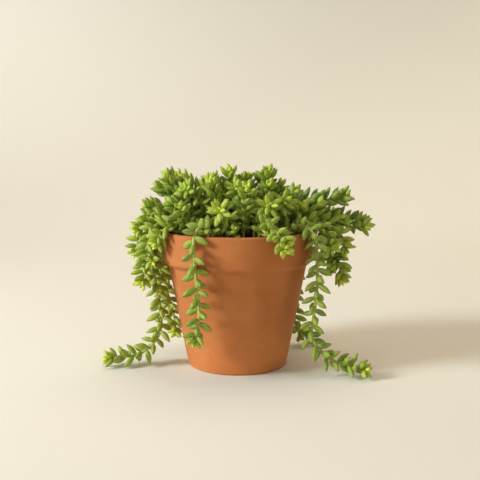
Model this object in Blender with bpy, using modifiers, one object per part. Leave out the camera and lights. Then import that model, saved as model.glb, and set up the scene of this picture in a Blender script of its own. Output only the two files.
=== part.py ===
"""A trailing stonecrop in a clay pot: the pot, its soil, and one solid for each leafy shoot.

The pot stands on the floor at z = 0 with its axis on Z. +X is to the right of the plant's front, and the
front looks along -Y. Lengths are in metres and angles in degrees. Azimuths turn from +X towards +Y, so the
front of the plant is at 270. Every shoot is rooted in the soil, and its route is given from the pot's rim and
from the floor, so that the shoots follow the pot when its sizes change.
"""

import math
from dataclasses import dataclass

import bmesh
import bpy
from mathutils import Matrix, Vector
from mathutils.bvhtree import BVHTree
from mathutils.kdtree import KDTree

# Clay pot
POT_HEIGHT = 0.135
RIM_RADIUS = 0.0763  # outside, at the very top
COLLAR_HEIGHT = 0.030
COLLAR_TAPER = 0.0019  # how much narrower the collar is at its lower edge
COLLAR_STEP = 0.0052  # how far the collar stands out from the body below it
COLLAR_UNDERCUT = 0.0042  # height of the slope under the collar
BASE_RADIUS = 0.0497
WALL = 0.0065
FLOOR_THICKNESS = 0.009
DRAIN_RADIUS = 0.010
RIM_ROUNDING = 0.0024
FOOT_ROUNDING = 0.0020
POT_STEPS = 56
ROUNDING_STEPS = 3

# Soil
SOIL_BELOW_RIM = 0.012
SOIL_MOUND = 0.004  # how much higher the soil is at its middle
SOIL_RINGS = 3
CLEARANCE = 0.0003  # between pieces that touch

# Stems and leaves
STEM_RADIUS = 0.0015
STEM_SIDES = 3
STEM_BARE_FOOT = 0.012  # no leaves on this much of a stem, from the soil
ROUTE_STEPS = 24  # straight steps of a route between two of its points
LEAF_LENGTH = 0.0155
LEAF_WIDTH = 0.0066
LEAF_THICKNESS = 0.0052
LEAF_BELLY = 0.48  # where along its length a leaf is thickest
LEAF_FACET = 0.84  # corner of the four-sided section, as a share of the half width
TRAILING_PITCH = 0.0054  # stem length from one leaf to the next
CROWN_PITCH = 0.0046
TIP_PITCH = 0.0030
CROWDED_STRETCH = 0.014  # the end of a stem, where the leaves crowd
YOUNG_STRETCH = 0.028  # the end of a stem, where the leaves are not fully grown
BUD_LENGTH = 0.003
TIP_LEAF_SHARE = 0.62  # length of the youngest leaf, as a share of LEAF_LENGTH
OLD_LEAF_ANGLE = 66.0  # between a leaf and its stem
YOUNG_LEAF_ANGLE = 30.0
GOLDEN_ANGLE = 137.5
SHARP_ANGLE = 50
# What is tried in turn where a leaf would touch something: its share of the length, and its turn on the stem
LEAF_TRIES = ((1.0, 0.0), (1.0, -16.0), (1.0, 14.0), (0.8, 0.0), (0.8, -20.0), (0.62, -10.0), (0.62, 16.0))
# What is tried in turn where a stem would touch something: its turn about the pot's axis
NUDGES = (0, 3, -3, 6, -6, 9, -9, 12, -12, 16, -16, 20, -20, 25, -25, 30, -30, 40, -40, 50, -50, 60, -60)

# Shoots that fill the crown
FILL_COUNT = 18
FILL_FIRST_AZIMUTH = 90
FILL_FIRST_RADIUS = 0.010
FILL_INSET = 0.011  # from the soil's edge to the root of the outermost one
FILL_HEIGHT = 0.050  # above the rim, in the middle of the crown
FILL_EDGE_DROP = 0.026  # how much lower the outermost ones end
FILL_LEAN = 0.55  # how far a shoot leans outwards, as a share of its root's radius
FILL_BEND = (0.33, 0.40)  # where a shoot bends: the share of its lean, and of its height, that it has there


@dataclass(frozen=True)
class Shoot:
    """One stem: where it is rooted in the soil, and the points that it passes through.

    root is (azimuth, reach). A point of from_rim is (azimuth, reach, height above the rim), and a point of
    from_floor is (azimuth, reach, height above the floor). A reach is in mm outside the rim, or, where it is
    negative, in hundredths of the rim's radius inside it. Heights are in mm.
    """

    name: str
    root: tuple
    from_rim: tuple
    from_floor: tuple = ()
    pitch: float = CROWN_PITCH


TRAILING = (
    Shoot("trailing_shoot_left", (188, -38),
          ((188, -13, 11), (189, 8, 6), (190, 12, -12), (190, 9, -36)),
          ((190, 4, 74), (190, 1, 46), (190, 6, 27), (190, 24, 12), (189, 40, 10), (189, 55, 9)),
          TRAILING_PITCH),
    Shoot("trailing_shoot_left_inner", (163, -31),
          ((165, -8, 8), (167, 7, -2), (167, 7, -30)),
          ((166, 1, 75), (164, -9, 43), (164, -12, 25)), TRAILING_PITCH),
    Shoot("trailing_shoot_front", (246, -34),
          ((243, -10, 8), (242, 5, 2), (242, 7, -18)),
          ((244, 6, 87), (245, 6, 59), (242, 8, 39)), TRAILING_PITCH),
    Shoot("trailing_shoot_right", (325, -34),
          ((326, -9, 8), (327, 9, 1), (328, 12, -20)),
          ((327, 13, 83), (326, 10, 52), (326, 9, 38), (329, 18, 22), (332, 31, 13), (334, 44, 11),
           (333, 59, 9)), TRAILING_PITCH),
    Shoot("trailing_shoot_back_right", (44, -34),
          ((44, -9, 8), (43, 8, 0), (43, 9, -30)),
          ((43, 8, 60), (43, 9, 32), (42, 16, 14), (39, 30, 10)), TRAILING_PITCH),
    Shoot("trailing_shoot_back", (84, -34),
          ((84, -9, 9), (84, 6, 2), (83, 5, -28)),
          ((82, 2, 65), (82, 2, 36), (85, 3, 18), (93, 4, 10), (104, 5, 9), (116, 7, 9)), TRAILING_PITCH),
    Shoot("trailing_shoot_back_left", (128, -34),
          ((127, -9, 8), (126, 7, 0), (126, 9, -34)),
          ((128, 6, 63), (130, 5, 37)), TRAILING_PITCH),
    Shoot("drooping_shoot_left_upper", (180, -34),
          ((180, -21, 19), (180, 6, 14), (181, 25, 0))),
    Shoot("drooping_shoot_left_lower", (174, -50),
          ((174, -31, 14), (175, 4, 9), (178, 22, -9), (180, 27, -24))),
    Shoot("drooping_shoot_left_hanging", (197, -29),
          ((197, -10, 8), (197, 9, 1), (196, 17, -22), (197, 20, -50))),
    Shoot("drooping_shoot_left_front", (213, -31),
          ((212, -16, 10), (210, 4, 4), (208, 11, -10))),
    Shoot("drooping_shoot_front_right", (291, -31),
          ((292, -13, 10), (295, 5, 6), (298, 16, -10))),
    Shoot("drooping_shoot_right_front", (340, -31),
          ((340, -13, 10), (341, 8, 4), (341, 21, -15))),
    Shoot("drooping_shoot_right_middle", (352, -39),
          ((352, -18, 14), (353, 8, 10), (355, 24, -4), (356, 32, -20))),
    Shoot("drooping_shoot_right_lower", (5, -26),
          ((5, -8, 8), (5, 12, 3), (5, 24, -20), (4, 31, -52))),
    Shoot("drooping_shoot_back_right", (64, -31),
          ((64, -13, 10), (64, 7, 3), (64, 11, -24), (63, 10, -52))),
    Shoot("drooping_shoot_back", (104, -31),
          ((104, -13, 12), (106, 5, 6), (109, 12, -16))),
    Shoot("drooping_shoot_back_left", (147, -31),
          ((147, -13, 10), (147, 8, 3), (148, 15, -26), (148, 16, -58))),
)

CROWN = (
    Shoot("crown_shoot_right_long", (12, -39), ((11, -18, 18), (11, 10, 14), (11, 34, 9), (11, 58, 4))),
    Shoot("crown_shoot_right_upper", (358, -73), ((358, -58, 16), (0, -18, 27), (2, 12, 30), (3, 34, 33))),
    Shoot("crown_shoot_left_edge", (176, -66), ((176, -52, 12), (176, -18, 20), (177, 15, 24))),
    Shoot("crown_shoot_left_high", (163, -52), ((165, -39, 16), (169, -16, 32), (170, 4, 44))),
    Shoot("crown_shoot_left_top", (196, -60), ((195, -50, 16), (192, -26, 38), (190, -8, 54))),
    Shoot("crown_shoot_left_inner", (186, -81), ((186, -66, 18), (186, -45, 38), (185, -31, 51))),
    Shoot("crown_shoot_left_star", (208, -68), ((207, -58, 14), (205, -42, 32), (204, -29, 42))),
    Shoot("crown_shoot_back_top", (150, -79), ((150, -71, 18), (150, -63, 36), (152, -55, 50))),
    Shoot("crown_shoot_left_upper", (170, -52), ((170, -45, 16), (168, -29, 36), (166, -21, 53))),
    Shoot("crown_shoot_middle_left", (186, -76), ((184, -73, 18), (182, -71, 36), (180, -68, 52))),
    Shoot("crown_shoot_middle_right", (52, -87), ((50, -84, 18), (47, -83, 36), (46, -81, 53))),
    Shoot("crown_shoot_middle_top", (200, -93), ((190, -89, 20), (180, -89, 42), (185, -90, 58))),
    Shoot("crown_shoot_right_top", (20, -71), ((18, -66, 16), (8, -60, 40), (2, -60, 59))),
    Shoot("crown_shoot_middle_star", (262, -80), ((264, -76, 16), (268, -71, 32), (268, -66, 43))),
    Shoot("crown_shoot_front_star", (255, -52), ((255, -50, 8), (255, -37, 18), (255, -18, 24))),
    Shoot("crown_shoot_right_star", (300, -58), ((300, -55, 12), (300, -42, 23), (300, -22, 28))),
    Shoot("crown_shoot_right_small_star", (320, -52), ((320, -50, 12), (318, -39, 24), (318, -21, 31))),
)


def soil_height(radius):
    """Height of the soil's surface at a distance from the pot's axis."""
    share = radius / soil_radius()
    return POT_HEIGHT - SOIL_BELOW_RIM + SOIL_MOUND * (1 - share * share)


def collar_edge_radius():
    """Outside radius of the collar's lower edge."""
    return RIM_RADIUS - COLLAR_TAPER


def shoulder_height():
    """Height where the slope under the collar meets the body."""
    return POT_HEIGHT - COLLAR_HEIGHT - COLLAR_UNDERCUT


def shoulder_radius():
    """Outside radius of the body just below the collar."""
    return collar_edge_radius() - COLLAR_STEP


def inner_radius(height):
    """Radius of the pot's inside wall at a height."""
    bottom = BASE_RADIUS - WALL
    top = RIM_RADIUS - WALL
    share = (height - FLOOR_THICKNESS) / (POT_HEIGHT - FLOOR_THICKNESS)
    return bottom + (top - bottom) * share


def soil_radius():
    """Radius of the soil's surface, where it meets the pot."""
    return inner_radius(POT_HEIGHT - SOIL_BELOW_RIM) - CLEARANCE


def rounding(centre, radius, first, last):
    """Points of an arc in the XZ plane, from one angle to another."""
    shares = [i / ROUNDING_STEPS for i in range(ROUNDING_STEPS + 1)]
    angles = [math.radians(first + (last - first) * share) for share in shares]
    return [Vector((centre[0] + radius * math.cos(a), 0, centre[1] + radius * math.sin(a))) for a in angles]


def turned(name, profile, closed, collection, material):
    """A turned piece: a profile in the XZ plane with a Screw modifier."""
    mesh = bpy.data.meshes.new(name)
    edges = [(i, i + 1) for i in range(len(profile) - 1)]
    if closed:
        edges.append((len(profile) - 1, 0))
    mesh.from_pydata(profile, edges, [])
    piece = bpy.data.objects.new(name, mesh)
    collection.objects.link(piece)
    screw = piece.modifiers.new("turn", "SCREW")
    screw.axis = "Z"
    screw.steps = POT_STEPS
    screw.render_steps = POT_STEPS
    screw.use_merge_vertices = True
    screw.merge_threshold = 0.00001
    screw.use_smooth_shade = True
    mesh.materials.append(material)
    return piece


def pot_profile():
    """The pot's section, down its outside, across the foot and drain hole, and up its inside."""
    wall_slope = math.degrees(math.atan2(shoulder_radius() - BASE_RADIUS, shoulder_height()))
    rim_centre = (RIM_RADIUS - RIM_ROUNDING, POT_HEIGHT - RIM_ROUNDING)
    lip_centre = (RIM_RADIUS - WALL + RIM_ROUNDING, POT_HEIGHT - RIM_ROUNDING)
    foot_centre = (BASE_RADIUS - FOOT_ROUNDING, FOOT_ROUNDING)
    points = rounding(rim_centre, RIM_ROUNDING, 90, 0)
    points.append(Vector((collar_edge_radius(), 0, POT_HEIGHT - COLLAR_HEIGHT)))
    points.append(Vector((shoulder_radius(), 0, shoulder_height())))
    points += rounding(foot_centre, FOOT_ROUNDING, -wall_slope, -90)
    points.append(Vector((DRAIN_RADIUS, 0, 0)))
    points.append(Vector((DRAIN_RADIUS, 0, FLOOR_THICKNESS)))
    points.append(Vector((inner_radius(FLOOR_THICKNESS), 0, FLOOR_THICKNESS)))
    points += rounding(lip_centre, RIM_ROUNDING, 180, 90)
    return points


def soil_profile():
    """The soil's section: its mounded surface, its side against the pot, and its flat underside."""
    underside = FLOOR_THICKNESS + CLEARANCE
    radii = [soil_radius() * i / SOIL_RINGS for i in range(SOIL_RINGS + 1)]
    points = [Vector((r, 0, soil_height(r))) for r in radii]
    points.append(Vector((inner_radius(underside) - CLEARANCE, 0, underside)))
    points.append(Vector((0, 0, underside)))
    return points


def polar(azimuth, radius, height):
    """A point from its azimuth in degrees, distance from the pot's axis and height."""
    angle = math.radians(azimuth)
    return Vector((radius * math.cos(angle), radius * math.sin(angle), height))


def radius_at(reach):
    """Distance from the pot's axis of a reach, as Shoot gives it."""
    return RIM_RADIUS + reach / 1000 if reach > 0 else RIM_RADIUS * (1 + reach / 100)


def reach_of(radius):
    """The reach, as Shoot gives it, of a distance from the pot's axis."""
    return (radius - RIM_RADIUS) * 1000 if radius > RIM_RADIUS else (radius / RIM_RADIUS - 1) * 100


def control_points(shoot, nudge):
    """The points that a shoot's stem passes through, turned about the pot's axis by a few degrees."""
    azimuth, radius = shoot.root[0] + nudge, radius_at(shoot.root[1])
    foot = polar(azimuth, radius, soil_height(radius) + CLEARANCE)
    points = [foot, foot + Vector((0, 0, 2 * STEM_RADIUS))]
    for azimuth, reach, up in shoot.from_rim:
        points.append(polar(azimuth + nudge, radius_at(reach), POT_HEIGHT + up / 1000))
    for azimuth, reach, up in shoot.from_floor:
        points.append(polar(azimuth + nudge, radius_at(reach), up / 1000))
    return points


def smooth_route(points):
    """A Catmull-Rom curve through the points, as a dense line."""
    ends = [points[0] * 2 - points[1]] + points + [points[-1] * 2 - points[-2]]
    line = []
    for a, b, c, d in zip(ends, ends[1:], ends[2:], ends[3:]):
        for i in range(ROUTE_STEPS):
            t = i / ROUTE_STEPS
            line.append(0.5 * (2 * b + (c - a) * t + (2 * a - 5 * b + 4 * c - d) * t**2
                               + (3 * b - a - 3 * c + d) * t**3))
    line.append(points[-1])
    return line


def point_along(line, distance):
    """The point at a distance along a dense line, and the direction there."""
    for a, b in zip(line, line[1:]):
        step = (b - a).length
        if distance <= step and step > 0:
            return a.lerp(b, distance / step), (b - a) / step
        distance -= step
    return line[-1], (line[-1] - line[-2]).normalized()


def line_length(line):
    """Length of a dense line."""
    return sum((b - a).length for a, b in zip(line, line[1:]))


def node_distances(length, pitch):
    """Distances along a stem of its rings: crowded towards the tip, spaced by the pitch elsewhere."""
    found = [length]
    while found[-1] > 1.5 * pitch:
        from_tip = length - found[-1]
        share = min(1.0, from_tip / CROWDED_STRETCH)
        found.append(found[-1] - (TIP_PITCH + (pitch - TIP_PITCH) * share))
    return [0.0] + found[::-1]


def stem_frames(line, pitch):
    """A frame at each ring of a stem: Z runs along the stem, and X turns by the golden angle's rest."""
    length = line_length(line)
    frames = []
    side = Vector((1, 0, 0))
    twist = math.radians(GOLDEN_ANGLE - 360 / STEM_SIDES)
    for i, distance in enumerate(node_distances(length, pitch)):
        place, along = point_along(line, distance)
        if i == 0:
            along = Vector((0, 0, 1))
        side = (side - along * side.dot(along)).normalized()
        turned_side = Matrix.Rotation(twist * i, 3, along) @ side
        frame = Matrix((turned_side, along.cross(turned_side), along)).transposed().to_4x4()
        frame.translation = place
        frames.append((frame, length - distance))
    return frames


def stem_mesh(frames):
    """A bmesh of a bare stem, the side faces of each stretch between two rings, and the end face."""
    mesh = bmesh.new()
    made = bmesh.ops.create_circle(mesh, cap_ends=True, radius=STEM_RADIUS, segments=STEM_SIDES)
    end = made["verts"][0].link_faces[0]
    section = [vertex.co.copy() for vertex in end.verts]
    for vertex, corner in zip(end.verts, section):
        vertex.co = frames[0][0] @ corner
    stretches = []
    for frame, _ in frames[1:]:
        end = bmesh.ops.extrude_discrete_faces(mesh, faces=[end])["faces"][0]
        for vertex, corner in zip(end.verts, section):
            vertex.co = frame @ corner
        stretches.append([loop.link_loop_radial_next.face for loop in end.loops])
    bmesh.ops.holes_fill(mesh, edges=[edge for edge in mesh.edges if edge.is_boundary])
    bmesh.ops.recalc_face_normals(mesh, faces=mesh.faces)
    return mesh, stretches, end


class Leaf:
    """The shape of one leaf: narrow at the stem, widest at its belly, and pointed at its end."""

    def __init__(self, face, along, angle, length):
        self.base = face.calc_center_median()
        outward = (face.normal - along * face.normal.dot(along)).normalized()
        self.way = along * math.cos(angle) + outward * math.sin(angle)
        self.side = along.cross(outward)
        self.up = self.side.cross(self.way)
        if self.up.dot(along) < 0:
            self.up.negate()
        self.along = along
        self.length = length
        size = length / LEAF_LENGTH
        self.half_width = LEAF_FACET * size * LEAF_WIDTH / 2
        self.half_thickness = LEAF_FACET * size * LEAF_THICKNESS / 2

    def tip(self, spare=0.0):
        """The leaf's point."""
        return self.base + self.way * (self.length + spare)

    def belly(self, corner, spare=0.0):
        """Where a corner of the leaf's foot goes to on its widest section."""
        from_base = corner - self.base
        across = math.copysign(self.half_width + spare, from_base.dot(self.side))
        upwards = math.copysign(self.half_thickness + spare, from_base.dot(self.along))
        return self.base + self.way * LEAF_BELLY * self.length + self.side * across + self.up * upwards

    def trees(self, corners):
        """Search trees of the whole leaf and of its outer part, both a clearance larger than the leaf."""
        belly = [self.belly(corner, CLEARANCE) for corner in corners]
        points = list(corners) + belly + [self.tip(CLEARANCE)]
        outer = [(4 + i, 4 + (i + 1) % 4, 8) for i in range(4)]
        inner = [(i, (i + 1) % 4, 4 + (i + 1) % 4, 4 + i) for i in range(4)]
        return BVHTree.FromPolygons(points, inner + outer), BVHTree.FromPolygons(points, outer)

    def lowest(self, corners):
        """Height of the leaf's lowest point."""
        return min(point.z for point in [self.tip()] + [self.belly(corner) for corner in corners])

    def grow(self, mesh, face):
        """Draws the leaf out of a face of the stem."""
        corners = [vertex.co.copy() for vertex in face.verts]
        belly = bmesh.ops.extrude_discrete_faces(mesh, faces=[face])["faces"][0]
        for vertex, corner in zip(belly.verts, corners):
            vertex.co = self.belly(corner)
        poked = bmesh.ops.poke(mesh, faces=[belly])
        poked["verts"][0].co = self.tip()


def fitting_leaf(face, along, from_tip, neighbours, own):
    """The first leaf of those tried on this face that touches nothing, or None."""
    youth = 1 - min(1.0, from_tip / YOUNG_STRETCH)
    length = LEAF_LENGTH * (1 - (1 - TIP_LEAF_SHARE) * youth)
    angle = OLD_LEAF_ANGLE + (YOUNG_LEAF_ANGLE - OLD_LEAF_ANGLE) * youth
    corners = [vertex.co.copy() for vertex in face.verts]
    for share, turn in LEAF_TRIES:
        leaf = Leaf(face, along, math.radians(angle + turn), length * share)
        if leaf.lowest(corners) < CLEARANCE:
            continue
        whole, outer = leaf.trees(corners)
        if any(whole.overlap(tree) for tree in neighbours):
            continue
        if not any(outer.overlap(tree) for tree in own):
            own.append(outer)
            return leaf
    return None


def leafy_shoot(shoot, mesh, frames, stretches, end, neighbours):
    """Grows the leaves of a shoot on its stem, one for each stretch, round the stem by the golden angle."""
    own = [BVHTree.FromBMesh(mesh)]
    for number, sides in enumerate(stretches):
        frame, from_tip = frames[number + 1]
        if frames[0][1] - from_tip < STEM_BARE_FOOT:
            continue
        face = sides[number % STEM_SIDES]
        along = (frame.translation - frames[number][0].translation).normalized()
        leaf = fitting_leaf(face, along, from_tip, neighbours, own)
        if leaf:
            leaf.grow(mesh, face)
    bud = bmesh.ops.poke(mesh, faces=[end])["verts"][0]
    bud.co += frames[-1][0].to_3x3() @ Vector((0, 0, BUD_LENGTH))


def finished(mesh, name, collection, material):
    """An object of a finished bmesh."""
    bmesh.ops.recalc_face_normals(mesh, faces=mesh.faces)
    data = bpy.data.meshes.new(name)
    mesh.to_mesh(data)
    mesh.free()
    data.materials.append(material)
    data.shade_smooth()
    data.set_sharp_from_angle(angle=math.radians(SHARP_ANGLE))
    piece = bpy.data.objects.new(name, data)
    collection.objects.link(piece)
    return piece


def fill_shoots():
    """Shoots that fill the crown: rooted along a golden-angle spiral, and leaning out from its middle."""
    found = []
    last_radius = soil_radius() - FILL_INSET
    for i in range(FILL_COUNT):
        share = math.sqrt((i + 0.5) / FILL_COUNT)
        radius = FILL_FIRST_RADIUS + (last_radius - FILL_FIRST_RADIUS) * share
        azimuth = FILL_FIRST_AZIMUTH + i * GOLDEN_ANGLE
        height = (FILL_HEIGHT - FILL_EDGE_DROP * share * share) * 1000
        bend = reach_of(radius * (1 + FILL_LEAN * FILL_BEND[0]))
        end = reach_of(radius * (1 + FILL_LEAN))
        route = ((azimuth, bend, height * FILL_BEND[1]), (azimuth, end, height))
        found.append(Shoot(f"crown_shoot_{i + 1:02d}", (azimuth, reach_of(radius)), route))
    return found


def free_route(shoot, placed, pot_tree):
    """A shoot's route, turned about the pot's axis by as little as keeps its stem clear of the others."""
    room = 2 * STEM_RADIUS + 2 * CLEARANCE
    taken = KDTree(sum(len(line) for line in placed))
    for number, point in enumerate(point for line in placed for point in line):
        taken.insert(point, number)
    taken.balance()
    for nudge in NUDGES:
        line = smooth_route(control_points(shoot, nudge))
        by_pot = min(pot_tree.find_nearest(point)[3] for point in line)
        by_stem = min(taken.find(point)[2] for point in line) if placed else room
        if by_pot >= STEM_RADIUS + CLEARANCE and by_stem >= room:
            return line
    raise ValueError(f"there is no room for {shoot.name}")


def new_material(name, colour, roughness):
    """A plain Principled material; the colour is linear."""
    material = bpy.data.materials.new(name)
    material.use_nodes = True
    shader = material.node_tree.nodes["Principled BSDF"]
    shader.inputs["Base Color"].default_value = (*colour, 1)
    shader.inputs["Roughness"].default_value = roughness
    shader.inputs["Metallic"].default_value = 0.0
    return material


def new_collection(name):
    """A collection in the scene."""
    collection = bpy.data.collections.new(name)
    bpy.context.scene.collection.children.link(collection)
    return collection


def build():
    """Builds the pot, the soil and every shoot."""
    for piece in list(bpy.data.objects):
        bpy.data.objects.remove(piece)
    plant = new_collection("potted_succulent")
    clay = new_material("fired_clay", (0.50, 0.17, 0.065), 0.8)
    earth = new_material("potting_soil", (0.018, 0.012, 0.008), 0.95)
    green = new_material("leaf_green", (0.13, 0.26, 0.035), 0.5)
    pot = turned("pot", pot_profile(), True, plant, clay)
    soil = turned("soil", soil_profile(), False, plant, earth)
    graph = bpy.context.evaluated_depsgraph_get()
    pot_tree = BVHTree.FromObject(pot, graph)
    soil_tree = BVHTree.FromObject(soil, graph)

    shoots = list(TRAILING) + list(CROWN) + fill_shoots()
    lines = []
    for shoot in shoots:
        lines.append(free_route(shoot, lines, pot_tree))
    stems = []
    for shoot, line in zip(shoots, lines):
        frames = stem_frames(line, shoot.pitch)
        stems.append((frames, *stem_mesh(frames)))
    trees = [BVHTree.FromBMesh(stem[1]) for stem in stems]
    for number, (shoot, (frames, mesh, stretches, end)) in enumerate(zip(shoots, stems)):
        neighbours = [pot_tree, soil_tree] + trees[:number] + trees[number + 1:]
        leafy_shoot(shoot, mesh, frames, stretches, end, neighbours)
        mesh.normal_update()
        trees[number] = BVHTree.FromBMesh(mesh)
        finished(mesh, shoot.name, plant, green)


build()
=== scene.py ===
"""A trailing stonecrop in a clay pot: the finished surfaces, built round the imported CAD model.

Everything is in metres in the CAD model's frame: the pot stands on the floor at z = 0 with its axis on Z, and
the plant's front looks along -Y. Azimuths are in degrees and turn from +X towards +Y. The pot, the soil and
every shoot stand in for the CAD solid of the same place.
"""

from __future__ import annotations

import logging
import math
import random
from dataclasses import dataclass, field, replace
from enum import Enum
from itertools import product

import bmesh
import bpy
from mathutils import Matrix, Vector, noise
from mathutils.bvhtree import BVHTree
from mathutils.kdtree import KDTree

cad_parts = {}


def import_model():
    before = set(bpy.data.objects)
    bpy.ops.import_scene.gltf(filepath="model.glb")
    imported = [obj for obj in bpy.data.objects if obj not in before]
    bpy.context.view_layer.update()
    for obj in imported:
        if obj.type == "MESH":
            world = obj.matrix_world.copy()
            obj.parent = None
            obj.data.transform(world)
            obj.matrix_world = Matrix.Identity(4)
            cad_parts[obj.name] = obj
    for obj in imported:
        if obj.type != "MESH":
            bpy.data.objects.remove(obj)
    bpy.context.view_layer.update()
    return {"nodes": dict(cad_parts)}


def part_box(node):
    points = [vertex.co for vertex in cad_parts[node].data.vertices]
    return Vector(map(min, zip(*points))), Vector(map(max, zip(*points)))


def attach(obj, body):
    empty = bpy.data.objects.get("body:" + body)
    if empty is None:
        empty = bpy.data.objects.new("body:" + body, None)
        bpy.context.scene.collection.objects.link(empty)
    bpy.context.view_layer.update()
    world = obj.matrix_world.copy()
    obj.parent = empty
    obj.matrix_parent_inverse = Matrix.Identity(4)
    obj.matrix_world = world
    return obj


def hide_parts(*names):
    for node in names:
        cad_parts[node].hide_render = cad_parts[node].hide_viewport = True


log = logging.getLogger("potted_succulent")

MM = 0.001
GOLDEN_ANGLE = 137.5
UP = Vector((0.0, 0.0, 1.0))
WINDOW = Vector((-0.25, -1.0, 0.25))  # the way to the light that the plant has grown towards


# ---------------------------------------------------------------------------------------------- materials


def linear(colour: str) -> tuple[float, float, float, float]:
    """Turns an sRGB hex colour to linear RGBA.

    Args:
        colour: the colour, such as "#B4673B".

    Returns:
        Red, green, blue and an alpha of 1.
    """
    parts = [int(colour[i : i + 2], 16) / 255 for i in (1, 3, 5)]
    red, green, blue = (p / 12.92 if p <= 0.04045 else ((p + 0.055) / 1.055) ** 2.4 for p in parts)
    return red, green, blue, 1.0


def per(size_mm: float) -> float:
    """The scale of a pattern on object coordinates whose features are size_mm across."""
    return 1000.0 / size_mm


def set_up(tree: bpy.types.NodeTree, node: bpy.types.Node, settings: dict, links: dict) -> None:
    """Gives a node its settings and its incoming links.

    Args:
        tree: the node tree.
        node: the node.
        settings: values by input name or number, or by property name. "stops" is a colour ramp's list of
            (position, hex colour).
        links: output sockets by input name or number.
    """
    for name, value in settings.items():
        if name == "stops":
            ramp = node.color_ramp
            while len(ramp.elements) < len(value):
                ramp.elements.new(1.0)
            for element, (position, colour) in zip(ramp.elements, value):
                element.position = position
                element.color = linear(colour)
        elif isinstance(name, str) and name not in node.inputs:
            setattr(node, name, value)
        else:
            node.inputs[name].default_value = value
    for name, socket in links.items():
        tree.links.new(socket, node.inputs[name])


def add_node(tree: bpy.types.NodeTree, kind: str, settings: dict | None = None, links: dict | None = None,
             output: str = "") -> bpy.types.NodeSocket:
    """Adds one node with its settings and its incoming links.

    Args:
        tree: the node tree.
        kind: the node's type, without the "ShaderNode" that it starts with.
        settings: its settings, as set_up has them.
        links: its links, as set_up has them.
        output: the output that is wanted, or "" for the first one that is in use.

    Returns:
        The output socket.
    """
    node = tree.nodes.new("ShaderNode" + kind)
    set_up(tree, node, settings or {}, links or {})
    return node.outputs[output] if output else next(socket for socket in node.outputs if socket.enabled)


def blank_material(name: str) -> tuple[bpy.types.Material, bpy.types.NodeTree, bpy.types.Node]:
    """A material with a Principled shader joined to its output.

    Args:
        name: the material's name.

    Returns:
        The material, its node tree and its shader.
    """
    material = bpy.data.materials.new(name)
    material.use_nodes = True
    return material, material.node_tree, material.node_tree.nodes["Principled BSDF"]


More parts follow.
